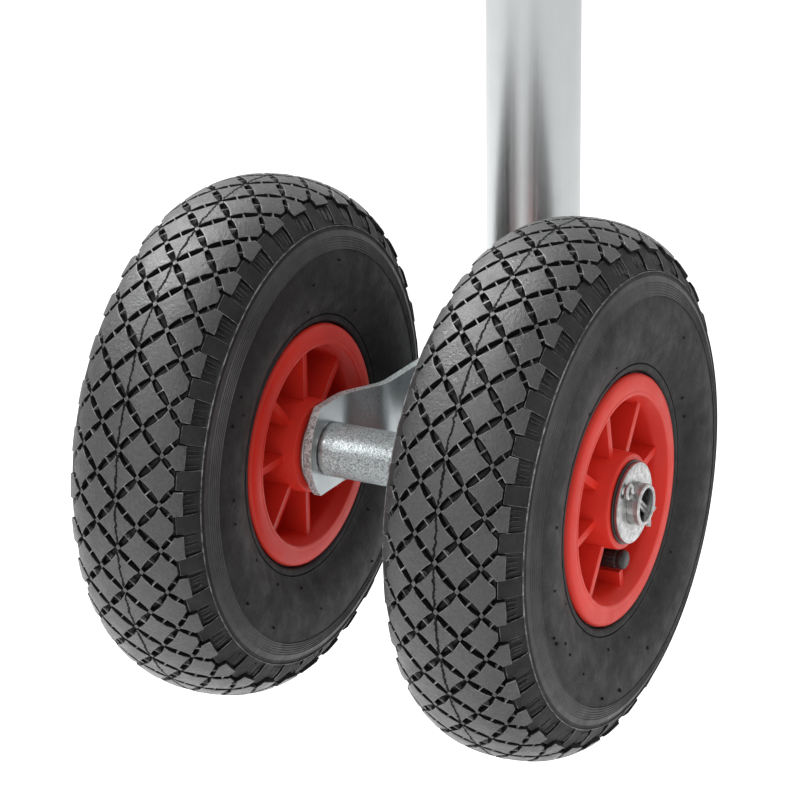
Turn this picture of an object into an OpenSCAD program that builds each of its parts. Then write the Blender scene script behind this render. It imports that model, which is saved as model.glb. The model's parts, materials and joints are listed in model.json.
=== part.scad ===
// Twin-wheel pneumatic trailer jockey wheel with a 48 mm clamp tube, a crank-driven lifting leg
// and a joggled two-plate fork. Origin: middle of the bare clamp tube, +Z up, +Y to the rear,
// wheels in front at -Y, X along the axle. Millimetres.

/* [Clamp tube] */
// Outside diameter of the clamp tube
tube_d = 48; // [42:0.5:60]
// Wall of the clamp tube
tube_wall = 3; // [2.5:0.1:3.2]
// Bare length that a clamp can grip
grip_len = 420; // [380:5:500]
// Height of the tube's lower end over the axle
tube_over_axle = 28; // [26:1:60]

/* [Leg] */
// Outside diameter of the inner leg tube
leg_d = 40; // [38:0.5:40.5]
// Wall of the leg tube
leg_wall = 2.5; // [2:0.1:3]
// Travel of the spindle nut
travel = 200; // [120:5:200]

/* [Spindle and crank] */
// Diameter of the trapezoidal spindle
spindle_d = 20; // [16:1:20]
// Crank radius, spindle axis to grip axis
crank_r = 115; // [90:5:140]
// Length of the grip
grip_h = 92; // [80:1:110]
// Largest diameter of the grip
grip_d = 28; // [24:1:32]

/* [Fork] */
// Distance of the axle in front of the tube axis
trail = 145; // [140:1:160]
// Thickness of the fork plates
plate_t = 4; // [3:0.5:5]
// Height of the fork plates
plate_h = 45; // [40:1:46]
// Clear width between the plates at the axle
fork_w = 80; // [76:1:84]
// Clear width between the plates at the leg
neck_w = 56; // [54:1:60]
// Outside diameter of the spacer tube
spacer_d = 27; // [25:0.5:32]

/* [Axle] */
// Outside diameter of the axle tube
axle_d = 20; // [18:0.5:20]
// Bore through the axle tube
axle_bore = 16; // [10:0.5:16]
// Overall length of the axle
axle_len = 260; // [258:1:270]

/* [Wheels] */
// Diameter of the tyre
tyre_d = 260; // [250:1:265]
// Width of the inflated tyre
tyre_w = 80; // [76:1:82]
// Distance of each wheel's middle plane from the centre
wheel_x = 83.4; // [83:0.1:84]
// Diameter over the rim flanges
flange_d = 121; // [118:1:124]
// Width over the rim flanges
rim_w = 70; // [68:1:72]
// Length of the hub
hub_len = 73.6; // [73:0.1:74]
// Number of ribs on each face of a rim
ribs = 8; // [6:1:10]
// Turn of the left wheel's ribs
left_phase = 0; // [0:1:44]
// Turn of the right wheel's ribs
right_phase = 11; // [0:1:44]

/* [Hidden] */
$fn = 96;
eps = 0.01;

tube_r = tube_d / 2;
leg_r = leg_d / 2;
spindle_r = spindle_d / 2;
axle_r = axle_d / 2;
tyre_r = tyre_d / 2;
axle_z = -(grip_len / 2 + tube_over_axle);

// head of the clamp tube: a plug with a lip that rests on the tube's end
head_skirt = 20;
head_wall = 3;
head_plate = 6;
head_lip = 1.5;
tube_top = grip_len / 2;
tube_low = -grip_len / 2;
bearing_h = 5.5;
collar_h = 12;
collar_r = 17;
collar_gap = 0.6;
collar_top = tube_top - bearing_h - collar_gap;
cross_pin_r = 2.5;
bearing_groove_r = 1.4;

// leg
plate_mid = 1;
leg_low = axle_z + plate_mid - plate_h / 2;
leg_top = tube_top - 35;
nut_h = 22;
nut_flange_h = 5;
nut_gap = 0.3;
spindle_spare = 20;
spindle_tip = 2;

// crank
boss_r = 16;
boss_h = 16;
boss_z = tube_top + head_plate + 2;
arm_w = 20;
arm_t = 8;
eye_r = 11;
stud_r = 6;
stud_end = 6;
shoulder_r = 9;
shoulder_t = 1.5;
grip_gap = 2;
retainer_gap = 0.4;
retainer_t = 5;

// fork plates: plan-view path of the plate's middle, from nose to tail
nose_r = 30;
nose_y = 19;
joggle_a = 16;
joggle_b = 38;
tail_y = trail + 28;
plate_corner = 14;
web_t = 4;
web_len = 62;
web_forward = 6;
web_inset = 2;
bend_r = 22;

// axle hardware
inner_washer_t = 2;
inner_washer_r = 19.8;
dust_washer_t = 1;
dust_washer_r = 20.2;
outer_washer_t = 2.5;
outer_washer_r = 19.5;
hub_gap = 0.3;
hub_out = wheel_x + hub_len / 2;
pin_r = 1.8;
pin_from_end = 3.8;
pin_angle = 140;
pin_eye_r = 4.2;

// tyre section
wall_t = 5;
tread_t = 8;
section_n = 2.37;
bead_r = 51;
section_mid = (tyre_r + 52) / 2;
section_h = (tyre_r - 52) / 2;
bead_w = 30.2;
bead_t = 8;
ridge_gap = 0.8;
ridge_out = 3;
air_gap = 0.5;
air_skin = 1.6;

// rim section
flange_r = flange_d / 2;
flange_t = 4;
lip_r = 50;
barrel_r = 47;
barrel_low_r = 45.5;
drop_r = 49;
web_half = 2.5;
boss_end_r = 23;
boss_root_r = 24.5;
rib_t = 4;
rib_edge = 30;
hub_bore_r = 15.5;
sleeve_bore_r = 14;
roller_count = 9;
roller_r = 1.9;
roller_pitch = 12;
roller_len = 58;
cage_t = 1.4;
seal_t = 2.5;

// valve: a stem bent from radial to axial, on each wheel's outer face
valve_angle = 280;
valve_at_r = 33;
valve_o = 12;
valve_r = 3.4;
cap_r = 5;
cap_len = 14;
cap_from = 20;
valve_pocket_r = 7;

// ---------- helpers ----------

// ring along Z from z0, outer radius ro, bore radius ri
module ring(ro, ri, h, z0 = 0) {
    translate([0, 0, z0]) difference() {
        cylinder(r = ro, h = h);
        translate([0, 0, -1]) cylinder(r = ri, h = h + 2);
    }
}

// ring along X from x0 in the wheel's own frame
module axle_ring(ro, ri, w, x0) {
    rotate([0, 90, 0]) ring(ro, ri, w, x0);
}

// moves a child drawn around the origin to the axle
module at_axle() {
    translate([0, -trail, axle_z]) children();
}

// a wheel's own frame: +X is the outer face, angles count from the rear up over the wheel
module at_wheel(side) {
    at_axle() mirror([side < 0 ? 1 : 0, 0, 0]) translate([wheel_x, 0, 0]) children();
}

// turns a child from the rear (+Y) by an angle towards the top
module spoke(angle) {
    rotate([angle, 0, 0]) children();
}

// revolves a profile drawn as [radius, offset] about X
module revolve_x() {
    rotate([0, 90, 0]) rotate_extrude($fn = 128) children();
}

function arc(centre, r, from, to, steps) =
    [for (i = [0:steps]) let (a = from + (to - from) * i / steps) centre + r * [cos(a), sin(a)]];

// ---------- clamp tube and head ----------

module clamp_tube() {
    color("gainsboro") ring(tube_r, tube_r - tube_wall, tube_top - tube_low, tube_low);
}

module head_plug() {
    plug_r = tube_r - tube_wall;
    color("silver") difference() {
        union() {
            translate([0, 0, tube_top]) cylinder(r = tube_r + head_lip, h = head_plate - 1);
            translate([0, 0, tube_top + head_plate - 1])
                cylinder(r1 = tube_r + head_lip, r2 = tube_r + head_lip - 1, h = 1);
            translate([0, 0, tube_top - head_skirt]) cylinder(r = plug_r, h = head_skirt + 1);
        }
        translate([0, 0, tube_top - head_skirt - 1]) cylinder(r = plug_r - head_wall, h = head_skirt + 1);
        translate([0, 0, tube_top - 1]) cylinder(r = spindle_r + 0.5, h = head_plate + 2);
    }
}

module thrust_bearing() {
    color("lightgrey") difference() {
        ring(collar_r, spindle_r + 0.5, bearing_h, tube_top - bearing_h);
        translate([0, 0, tube_top - bearing_h / 2]) rotate_extrude()
            translate([collar_r + 0.6, 0]) circle(r = bearing_groove_r, $fn = 24);
    }
}

// ---------- spindle and crank ----------

module spindle() {
    bottom = leg_top - travel - nut_h - spindle_spare;
    color("silver") difference() {
        translate([0, 0, bottom]) union() {
            cylinder(r1 = spindle_r - spindle_tip, r2 = spindle_r, h = spindle_tip);
            translate([0, 0, spindle_tip - eps])
                cylinder(r = spindle_r, h = boss_z + boss_h - bottom - spindle_tip + 1);
        }
        collar_pin_hole();
        crank_pin_hole();
    }
}

module collar_pin_hole() {
    translate([0, 0, collar_top - collar_h / 2]) rotate([90, 0, 0])
        cylinder(r = cross_pin_r, h = 3 * collar_r, center = true, $fn = 32);
}

module crank_pin_hole() {
    translate([0, 0, boss_z + boss_h / 2]) rotate([0, 90, 0])
        cylinder(r = cross_pin_r, h = 3 * boss_r, center = true, $fn = 32);
}

module thrust_collar() {
    color("darkgrey") difference() {
        ring(collar_r, spindle_r, collar_h, collar_top - collar_h);
        collar_pin_hole();
    }
}

module collar_pin() {
    color("dimgrey") translate([0, 0, collar_top - collar_h / 2]) rotate([90, 0, 0])
        cylinder(r = cross_pin_r, h = 2 * collar_r - 3, center = true, $fn = 32);
}

module crank_pin() {
    color("dimgrey") translate([0, 0, boss_z + boss_h / 2]) rotate([0, 90, 0])
        cylinder(r = cross_pin_r, h = 2 * boss_r, center = true, $fn = 32);
}

// boss on the spindle, flat arm to the rear, eye for the grip's stud
module crank_arm() {
    arm_z = boss_z + boss_h - arm_t;
    color("silver") difference() {
        union() {
            translate([0, 0, boss_z]) cylinder(r = boss_r, h = boss_h);
            translate([-arm_w / 2, 0, arm_z]) cube([arm_w, crank_r, arm_t]);
            translate([0, crank_r, arm_z]) cylinder(r = eye_r, h = arm_t);
        }
        translate([0, 0, boss_z - 1]) cylinder(r = spindle_r, h = boss_h + 2);
        translate([0, crank_r, arm_z - 1]) cylinder(r = stud_r, h = arm_t + 2);
        crank_pin_hole();
    }
}

module grip_stud() {
    base = boss_z + boss_h - arm_t;
    color("darkgrey") translate([0, crank_r, base]) union() {
        cylinder(r = stud_r, h = arm_t + grip_h + stud_end);
        translate([0, 0, arm_t]) cylinder(r = shoulder_r, h = shoulder_t);
    }
}

module crank_grip() {
    base = boss_z + boss_h + grip_gap;
    r = grip_d / 2;
    profile = concat(
        [[stud_r + 0.08, 0], [r - 3, 0], [r - 1.2, 1]],
        arc([r - 7, grip_h * 0.3], 7, -20, 20, 6),
        arc([r - 6.2, grip_h * 0.62], 5, -25, 25, 6),
        arc([r - 6, grip_h - 7], 6, 0, 70, 8),
        [[r - 5, grip_h], [stud_r + 0.08, grip_h]]
    );
    color([0.1, 0.1, 0.11]) translate([0, crank_r, base]) rotate_extrude() polygon(profile);
}

module grip_retainer() {
    low = boss_z + boss_h + grip_gap + grip_h + retainer_gap;
    stud_top = boss_z + boss_h + grip_h + stud_end;
    color("silver") difference() {
        translate([0, crank_r, low]) cylinder(r = shoulder_r, h = retainer_t);
        translate([0, crank_r, low - 1]) cylinder(r = stud_r, h = stud_top - low + 1);
    }
}

// ---------- lifting nut and leg ----------

module spindle_nut() {
    color("goldenrod") difference() {
        union() {
            translate([0, 0, leg_top + nut_gap]) cylinder(r = leg_r, h = nut_flange_h);
            translate([0, 0, leg_top - nut_h]) cylinder(r = leg_r - leg_wall - 0.08, h = nut_h + 1);
        }
        translate([0, 0, leg_top - nut_h - 1]) cylinder(r = spindle_r + 0.06, h = nut_h + nut_flange_h + 3);
    }
}

module leg_tube() {
    color("silver") ring(leg_r, leg_r - leg_wall, leg_top - leg_low, leg_low);
}

// plan view of the right plate's middle line: [x, y] with y from the axle to the rear
function plate_path() =
    let (x0 = (fork_w + plate_t) / 2, x1 = (neck_w + plate_t) / 2,
         tilt = atan2(x0 - x1, joggle_b - joggle_a), k = bend_r * tan(tilt / 2))
    concat(
        [[x0, -nose_y - 5]],
        arc([x0 - bend_r, joggle_a - k], bend_r, 0, tilt, 10),
        arc([x1 + bend_r, joggle_b + k], bend_r, 180 + tilt, 180, 10),
        [[x1, tail_y + 1]]
    );

// offset of a path point to one side, along the normal of its neighbours' chord
function side_point(path, i, d) =
    let (a = path[max(i - 1, 0)], b = path[min(i + 1, len(path) - 1)], v = (b - a) / norm(b - a))
    path[i] + d * [v[1], -v[0]];

module plate_plan() {
    path = plate_path();
    n = len(path);
    polygon(concat(
        [for (i = [0:n - 1]) side_point(path, i, plate_t / 2)],
        [for (i = [n - 1:-1:0]) side_point(path, i, -plate_t / 2)]
    ));
}

// side view of a plate, y to the rear and z up, around the axle
module plate_side() {
    low = plate_mid - plate_h / 2;
    corner = plate_corner;
    intersection() {
        union() {
            translate([nose_r - nose_y, 0]) circle(r = nose_r);
            translate([nose_r - nose_y, low]) square([tail_y - nose_r + nose_y - corner, plate_h]);
            translate([tail_y - 2 * corner, low + corner]) square([2 * corner, plate_h - 2 * corner]);
            for (z = [low + corner, low + plate_h - corner])
                translate([tail_y - corner, z]) circle(r = corner, $fn = 48);
        }
        translate([-nose_y - 1, low]) square([tail_y + nose_y + 2, plate_h]);
    }
}

module fork_plate(side) {
    color("silver") at_axle() mirror([side < 0 ? 1 : 0, 0, 0]) difference() {
        intersection() {
            translate([0, 0, plate_mid - plate_h / 2 - 1]) linear_extrude(plate_h + 2) plate_plan();
            rotate([90, 0, 90]) linear_extrude(fork_w) plate_side();
        }
        rotate([0, 90, 0]) cylinder(r = axle_r + 0.05, h = fork_w);
    }
}

module fork_plate_left() { fork_plate(-1); }
module fork_plate_right() { fork_plate(1); }

// cross plate between the fork plates, with the leg tube through it
module fork_web(z) {
    color("silver") at_axle() difference() {
        translate([-neck_w / 2, trail - web_len / 2 - web_forward, z]) cube([neck_w, web_len, web_t]);
        translate([0, trail, z - 1]) cylinder(r = leg_r, h = web_t + 2);
    }
}

module fork_web_top() { fork_web(plate_mid + plate_h / 2 - web_inset - web_t); }
module fork_web_bottom() { fork_web(plate_mid - plate_h / 2 + web_inset); }

// ---------- axle and its hardware ----------

module spacer_tube() {
    chamfer = 0.8;
    r = spacer_d / 2;
    w = fork_w / 2;
    color("gainsboro") at_axle() revolve_x() polygon([
        [axle_r + 0.05, -w], [r - chamfer, -w], [r, -w + chamfer],
        [r, w - chamfer], [r - chamfer, w], [axle_r + 0.05, w]
    ]);
}

module pin_hole(side, r) {
    translate([side * (axle_len / 2 - pin_from_end), 0, 0]) spoke(pin_angle) rotate([90, 0, 0])
        cylinder(r = r, h = 60, center = true, $fn = 32);
}

module axle() {
    color("silver") at_axle() difference() {
        axle_ring(axle_r, axle_bore / 2, axle_len, -axle_len / 2);
        for (side = [-1, 1]) pin_hole(side, pin_r + 0.1);
    }
}

module inner_washers() {
    color("silver") at_axle() for (side = [-1, 1]) mirror([side < 0 ? 1 : 0, 0, 0])
        axle_ring(inner_washer_r, axle_r + 0.05, inner_washer_t, fork_w / 2 + plate_t);
}

module dust_washers() {
    color("dimgrey") at_axle() for (side = [-1, 1]) mirror([side < 0 ? 1 : 0, 0, 0])
        axle_ring(dust_washer_r, axle_r + 0.05, dust_washer_t, hub_out + hub_gap);
}

module outer_washers() {
    color("gainsboro") at_axle() for (side = [-1, 1]) mirror([side < 0 ? 1 : 0, 0, 0])
        axle_ring(outer_washer_r, axle_r + 0.05, outer_washer_t, hub_out + hub_gap + dust_washer_t);
}

// cotter pin in its own frame: shank along Y, eye on +Y, legs splayed on -Y
module split_pin() {
    reach = axle_r + 2.4;
    wire = 1.1;
    union() {
        translate([0, reach, 0]) rotate([90, 0, 0]) cylinder(r = pin_r, h = 2 * reach, $fn = 32);
        translate([0, reach + pin_eye_r - 0.6, 0]) rotate([0, 90, 0]) rotate_extrude($fn = 48)
            translate([pin_eye_r - wire, 0]) circle(r = wire + 0.2, $fn = 24);
        for (s = [-1, 1]) translate([0, -reach, 0]) rotate([90 + s * 34, 0, 0])
            translate([0, 0, -0.6]) cylinder(r = pin_r * 0.8, h = 7, $fn = 24);
    }
}

module split_pins() {
    color("silver") at_axle() for (side = [-1, 1])
        translate([side * (axle_len / 2 - pin_from_end), 0, 0]) spoke(pin_angle) split_pin();
}

// ---------- wheels ----------

// points of a rounded tyre section: [radius, offset], over the crown from one side to the other
function section(h_up, h_low, w, from, steps) = [for (i = [0:steps])
    let (a = from + (180 - 2 * from) * i / steps, c = cos(a), s = sin(a), h = s > 0 ? h_up : h_low)
    [section_mid + h * sign(s) * pow(abs(s), 2 / section_n), w * sign(c) * pow(abs(c), 2 / section_n)]];

function reversed(list) = [for (i = [len(list) - 1:-1:0]) list[i]];

function across(list) = [for (p = reversed(list)) [p[0], -p[1]]];

// tyre carcass: crown, sidewalls and two beads with a ridge outside the rim flange, hollow inside
module tyre(side) {
    bead = [
        [bead_r, bead_w], [flange_r + ridge_gap, bead_w + 0.2],
        [flange_r + ridge_gap + 0.4, bead_w + ridge_out - 0.6],
        [flange_r + ridge_gap + 1.6, bead_w + ridge_out]
    ];
    outer = section(section_h, section_h, tyre_w / 2, -36, 44);
    inner = section(section_h - tread_t, section_h, tyre_w / 2 - wall_t, -50, 36);
    bead_in = bead_w - bead_t;
    color([0.13, 0.13, 0.14]) at_wheel(side) revolve_x() polygon(concat(
        bead, outer, across(bead), [[bead_r, -bead_in]], reversed(inner), [[bead_r, bead_in]]
    ));
}

module tyre_left() { tyre(-1); }
module tyre_right() { tyre(1); }

// inflated inner tube, a hollow ring that lies inside the tyre
module air_tube(side) {
    up = section_h - tread_t - air_gap;
    low = section_h - air_gap;
    w = tyre_w / 2 - wall_t - air_gap;
    color([0.2, 0.2, 0.21]) at_wheel(side) revolve_x() difference() {
        polygon(section(up, low, w, -90, 48));
        polygon(section(up - air_skin, low - air_skin, w - air_skin, -90, 40));
    }
}

module air_tube_left() { air_tube(-1); }
module air_tube_right() { air_tube(1); }

// half of the rim's revolved profile, mirrored to the other face
module rim_profile() {
    face = rim_w / 2;
    back = face - flange_t;
    for (m = [0, 1]) mirror([0, m]) polygon([
        [barrel_low_r, 0], [barrel_r, rib_edge - 2], [lip_r, face - 0.6], [lip_r + 1.5, face],
        [flange_r - 2, face - 0.4], [flange_r, face - 1.6], [flange_r, back + 0.6], [flange_r - 0.6, back],
        [bead_r - 0.2, back], [bead_r - 0.2, 20], [drop_r, 16], [drop_r, 0]
    ]);
}

// one-piece plastic rim: barrel with flanges, central web, hub boss and ribs on both faces
module rim(side, phase) {
    color([0.78, 0.16, 0.13]) at_wheel(side) difference() {
        union() {
            revolve_x() rim_profile();
            revolve_x() translate([hub_bore_r + 2, -web_half])
                square([drop_r - hub_bore_r - 4, 2 * web_half]);
            revolve_x() for (m = [0, 1]) mirror([0, m])
                polygon([[hub_bore_r, 0], [boss_root_r, 0], [boss_end_r, hub_len / 2 - 1],
                         [boss_end_r - 1, hub_len / 2], [hub_bore_r, hub_len / 2]]);
            for (i = [0:ribs - 1]) spoke(phase + i * 360 / ribs)
                translate([-rib_edge, boss_end_r - 2, -rib_t / 2])
                    cube([2 * rib_edge, barrel_r + 1 - boss_end_r + 2, rib_t]);
        }
        spoke(valve_angle) {
            translate([web_half + 1, valve_at_r, 0]) rotate([0, 90, 0])
                cylinder(r = valve_pocket_r, h = rim_w, $fn = 48);
            translate([valve_o, valve_at_r, 0]) rotate([-90, 0, 0])
                cylinder(r = valve_r + 1.4, h = bead_r, $fn = 48);
        }
    }
}

module rim_left() { rim(-1, left_phase); }
module rim_right() { rim(1, right_phase); }

// stem from the air tube through the barrel, bent to run along the axle
module valve_stem(side) {
    root_r = section_mid - section_h + air_gap;
    color([0.1, 0.1, 0.1]) at_wheel(side) spoke(valve_angle) union() {
        translate([valve_o, valve_at_r, 0]) rotate([-90, 0, 0])
            cylinder(r = valve_r, h = root_r - valve_at_r, $fn = 32);
        translate([valve_o, valve_at_r, 0]) sphere(r = valve_r, $fn = 32);
        translate([valve_o, valve_at_r, 0]) rotate([0, 90, 0])
            cylinder(r = valve_r, h = cap_from + cap_len - 3 - valve_o, $fn = 32);
    }
}

module valve_stem_left() { valve_stem(-1); }
module valve_stem_right() { valve_stem(1); }

module valve_cap(side) {
    color([0.05, 0.05, 0.05]) at_wheel(side) spoke(valve_angle) translate([cap_from, valve_at_r, 0])
        rotate([0, 90, 0]) difference() {
            union() {
                cylinder(r = cap_r, h = cap_len - 1, $fn = 48);
                translate([0, 0, cap_len - 1 - eps]) cylinder(r1 = cap_r, r2 = cap_r - 1, h = 1, $fn = 48);
            }
            translate([0, 0, -1]) cylinder(r = valve_r, h = cap_len - 2, $fn = 32);
        }
}

module valve_cap_left() { valve_cap(-1); }
module valve_cap_right() { valve_cap(1); }

module bearing_sleeve(side) {
    color("lightgrey") at_wheel(side)
        axle_ring(hub_bore_r, sleeve_bore_r, roller_len + 4, -roller_len / 2 - 2);
}

module bearing_sleeve_left() { bearing_sleeve(-1); }
module bearing_sleeve_right() { bearing_sleeve(1); }

module rollers(side, r = roller_r, len = roller_len) {
    at_wheel(side) for (i = [0:roller_count - 1]) spoke(i * 360 / roller_count)
        translate([-len / 2, roller_pitch, 0]) rotate([0, 90, 0]) cylinder(r = r, h = len, $fn = 32);
}

module rollers_left() { color("silver") rollers(-1); }
module rollers_right() { color("silver") rollers(1); }

module roller_cage(side) {
    color("peru") difference() {
        at_wheel(side) axle_ring(roller_pitch + cage_t / 2, roller_pitch - cage_t / 2,
                                 roller_len + 3, -roller_len / 2 - 1.5);
        rollers(side, roller_r + 0.05, roller_len + 0.2);
    }
}

module roller_cage_left() { roller_cage(-1); }
module roller_cage_right() { roller_cage(1); }

// plastic seal rings in both ends of the hub
module hub_seals(side) {
    color([0.15, 0.15, 0.16]) at_wheel(side) for (m = [0, 1]) mirror([m, 0, 0])
        axle_ring(hub_bore_r, axle_r + 0.2, seal_t, hub_len / 2 - seal_t);
}

module hub_seals_left() { hub_seals(-1); }
module hub_seals_right() { hub_seals(1); }

// ---------- assembly ----------

clamp_tube();
head_plug();
thrust_bearing();
spindle();
thrust_collar();
collar_pin();
crank_arm();
crank_pin();
grip_stud();
grip_retainer();
crank_grip();
spindle_nut();
leg_tube();
fork_plate_left();
fork_plate_right();
fork_web_top();
fork_web_bottom();
spacer_tube();
axle();
inner_washers();
dust_washers();
outer_washers();
split_pins();
rim_left();
tyre_left();
air_tube_left();
valve_stem_left();
valve_cap_left();
bearing_sleeve_left();
roller_cage_left();
rollers_left();
hub_seals_left();
rim_right();
tyre_right();
air_tube_right();
valve_stem_right();
valve_cap_right();
bearing_sleeve_right();
roller_cage_right();
rollers_right();
hub_seals_right();
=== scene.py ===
"""Looks of a twin-wheel trailer jockey wheel: diamond-tread tyres, red plastic rims, zinc-plated
fork, galvanised clamp tube and a crank. Metres, in the CAD's frame: Z up, X along the axle."""

import json
import math
import random

import bmesh
import bpy
import numpy as np
from mathutils import Matrix, Vector

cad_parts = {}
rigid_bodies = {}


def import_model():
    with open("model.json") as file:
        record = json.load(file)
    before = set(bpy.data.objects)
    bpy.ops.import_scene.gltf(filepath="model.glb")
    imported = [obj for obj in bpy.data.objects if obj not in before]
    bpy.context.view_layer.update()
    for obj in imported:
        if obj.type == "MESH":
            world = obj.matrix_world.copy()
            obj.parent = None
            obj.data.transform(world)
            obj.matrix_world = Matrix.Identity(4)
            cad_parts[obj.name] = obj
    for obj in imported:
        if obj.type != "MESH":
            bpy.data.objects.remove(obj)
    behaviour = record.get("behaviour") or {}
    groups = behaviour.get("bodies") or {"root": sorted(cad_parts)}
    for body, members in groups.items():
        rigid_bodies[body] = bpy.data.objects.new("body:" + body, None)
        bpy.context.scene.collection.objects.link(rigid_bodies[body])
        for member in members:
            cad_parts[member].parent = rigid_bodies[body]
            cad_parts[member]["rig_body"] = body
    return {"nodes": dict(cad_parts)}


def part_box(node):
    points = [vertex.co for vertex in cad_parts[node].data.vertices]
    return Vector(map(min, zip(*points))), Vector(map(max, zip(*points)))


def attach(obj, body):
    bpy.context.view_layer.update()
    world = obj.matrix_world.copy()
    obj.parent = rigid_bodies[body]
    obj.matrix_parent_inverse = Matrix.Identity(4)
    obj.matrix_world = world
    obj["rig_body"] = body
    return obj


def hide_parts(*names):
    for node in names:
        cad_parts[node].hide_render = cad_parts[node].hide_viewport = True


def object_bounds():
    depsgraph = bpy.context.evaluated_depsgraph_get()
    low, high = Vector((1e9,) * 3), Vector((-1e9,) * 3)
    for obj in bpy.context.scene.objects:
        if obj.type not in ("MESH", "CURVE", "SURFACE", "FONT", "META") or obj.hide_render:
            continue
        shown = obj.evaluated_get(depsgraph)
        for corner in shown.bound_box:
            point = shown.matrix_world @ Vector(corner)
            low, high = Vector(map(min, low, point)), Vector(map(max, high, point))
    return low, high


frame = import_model()
CAD_LOW, CAD_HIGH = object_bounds()
MM = 0.001
TURN = 2 * math.pi

# ---------------------------------------------------------------- sizes read from the CAD

tyre_low, tyre_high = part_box("tyre_right")
AXLE = Vector((0.0, (tyre_low.y + tyre_high.y) / 2, (tyre_low.z + tyre_high.z) / 2))
WHEEL_X = (tyre_low.x + tyre_high.x) / 2 / MM
TYRE_R = (tyre_high.z - tyre_low.z) / 2 / MM
TYRE_HALF = (tyre_high.x - tyre_low.x) / 2 / MM
rim_low, rim_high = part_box("rim_right")
HUB_HALF = (rim_high.x - rim_low.x) / 2 / MM
FLANGE_R = (rim_high.z - rim_low.z) / 2 / MM
AXLE_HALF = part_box("axle")[1].x / MM
TUBE_LOW, TUBE_HIGH = (c.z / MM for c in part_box("clamp_tube"))
TUBE_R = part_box("clamp_tube")[1].x / MM
SIDES = {"left": -1, "right": 1}

# ---------------------------------------------------------------- mesh helpers


class Shell:
    """Collects vertices and faces in millimetres, and makes one object of them."""

    def __init__(self):
        self.points, self.faces, self.marks, self.count = [], [], [], 0

    def add(self, points, faces, mark=0, flip=False):
        points = np.asarray(points, float).reshape(-1, 3)
        base = self.count
        for k, f in enumerate(faces):
            f = [base + i for i in f]
            self.faces.append(f[::-1] if flip else f)
            self.marks.append(mark[k] if isinstance(mark, list) else mark)
        self.points.append(points)
        self.count += len(points)

    def make(self, name, materials, body, replaces=(), smooth=35, offset=(0, 0, 0)):
        mesh = bpy.data.meshes.new(name)
        co = np.concatenate(self.points) * MM + np.array(offset)
        mesh.from_pydata([tuple(p) for p in co], [], self.faces)
        for m in materials:
            mesh.materials.append(m)
        mesh.polygons.foreach_set("material_index", self.marks)
        mesh.polygons.foreach_set("use_smooth", [True] * len(self.faces))
        mesh.update()
        obj = bpy.data.objects.new(name, mesh)
        bpy.context.scene.collection.objects.link(obj)
        mesh.set_sharp_from_angle(angle=math.radians(smooth))
        return place(obj, body, replaces)


def outward(obj):
    """Turns every closed shell's faces outwards."""
    bm = bmesh.new()
    bm.from_mesh(obj.data)
    bmesh.ops.recalc_face_normals(bm, faces=bm.faces)
    bm.to_mesh(obj.data)
    bm.free()
    return obj


def place(obj, body, replaces=()):
    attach(obj, body)
    if replaces:
        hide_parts(*replaces)
    return obj


def grid_faces(rows, cols, wrap_rows=False, wrap_cols=False):
    """Quads of a grid stored row by row."""
    out = []
    for i in range(rows if wrap_rows else rows - 1):
        for j in range(cols if wrap_cols else cols - 1):
            a, b = i * cols, ((i + 1) % rows) * cols
            k = (j + 1) % cols
            out.append((a + j, b + j, b + k, a + k))
    return out


def spin(shell, profile, middle=0.0, side=1, steps=96, marks=None):
    """Revolves a closed profile of (radius, offset) about the axle. Offsets count outwards from the
    middle on that side, and marks gives a material for each profile segment."""
    profile = np.asarray(profile, float)
    angles = np.arange(steps) * TURN / steps
    n = len(profile)
    pts = np.empty((steps, n, 3))
    for i, a in enumerate(angles):
        pts[i, :, 0] = side * (middle + profile[:, 1])
        pts[i, :, 1] = profile[:, 0] * math.cos(a)
        pts[i, :, 2] = profile[:, 0] * math.sin(a)
    faces = grid_faces(steps, n, wrap_rows=True, wrap_cols=True)
    shell.add(pts, faces, 0 if marks is None else list(marks) * steps, flip=side < 0)


# how sharply a corner's flare fades along the edge
FLARE_FADE = 6


def outline(corners, grow, soft=0.5, along=3, flare=0.0):
    """A convex outline grown outwards, by edge, with softened corners that may flare outwards."""
    c = np.asarray(corners, float)
    n = len(c)
    grow, flare = np.broadcast_to(grow, n), np.broadcast_to(flare, n)
    d = np.roll(c, -1, 0) - c
    d /= np.linalg.norm(d, axis=1)[:, None]
    out = np.stack([d[:, 1], -d[:, 0]], 1)
    moved = np.array([np.linalg.solve([out[i - 1], out[i]],
                                      [out[i - 1] @ c[i] + grow[i - 1], out[i] @ c[i] + grow[i]])
                      for i in range(n)])
    reach = c - c.mean(0)
    reach *= (flare / np.linalg.norm(reach, axis=1))[:, None]

    def edge_point(i, t):
        j = (i + 1) % n
        straight = moved[i] + (moved[j] - moved[i]) * t
        return straight + reach[i] * (1 - t) ** FLARE_FADE + reach[j] * t ** FLARE_FADE

    pts = []
    for i in range(n):
        cut = soft / np.linalg.norm(moved[(i + 1) % n] - moved[i])
        last = soft / np.linalg.norm(moved[i] - moved[i - 1])
        pts += [edge_point((i - 1) % n, 1 - last), moved[i] + (d[i] - d[i - 1]) * soft * 0.25 + reach[i]]
        pts += [edge_point(i, cut + (1 - 2 * cut) * k / (along + 1)) for k in range(along + 1)]
    return np.array(pts)


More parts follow.
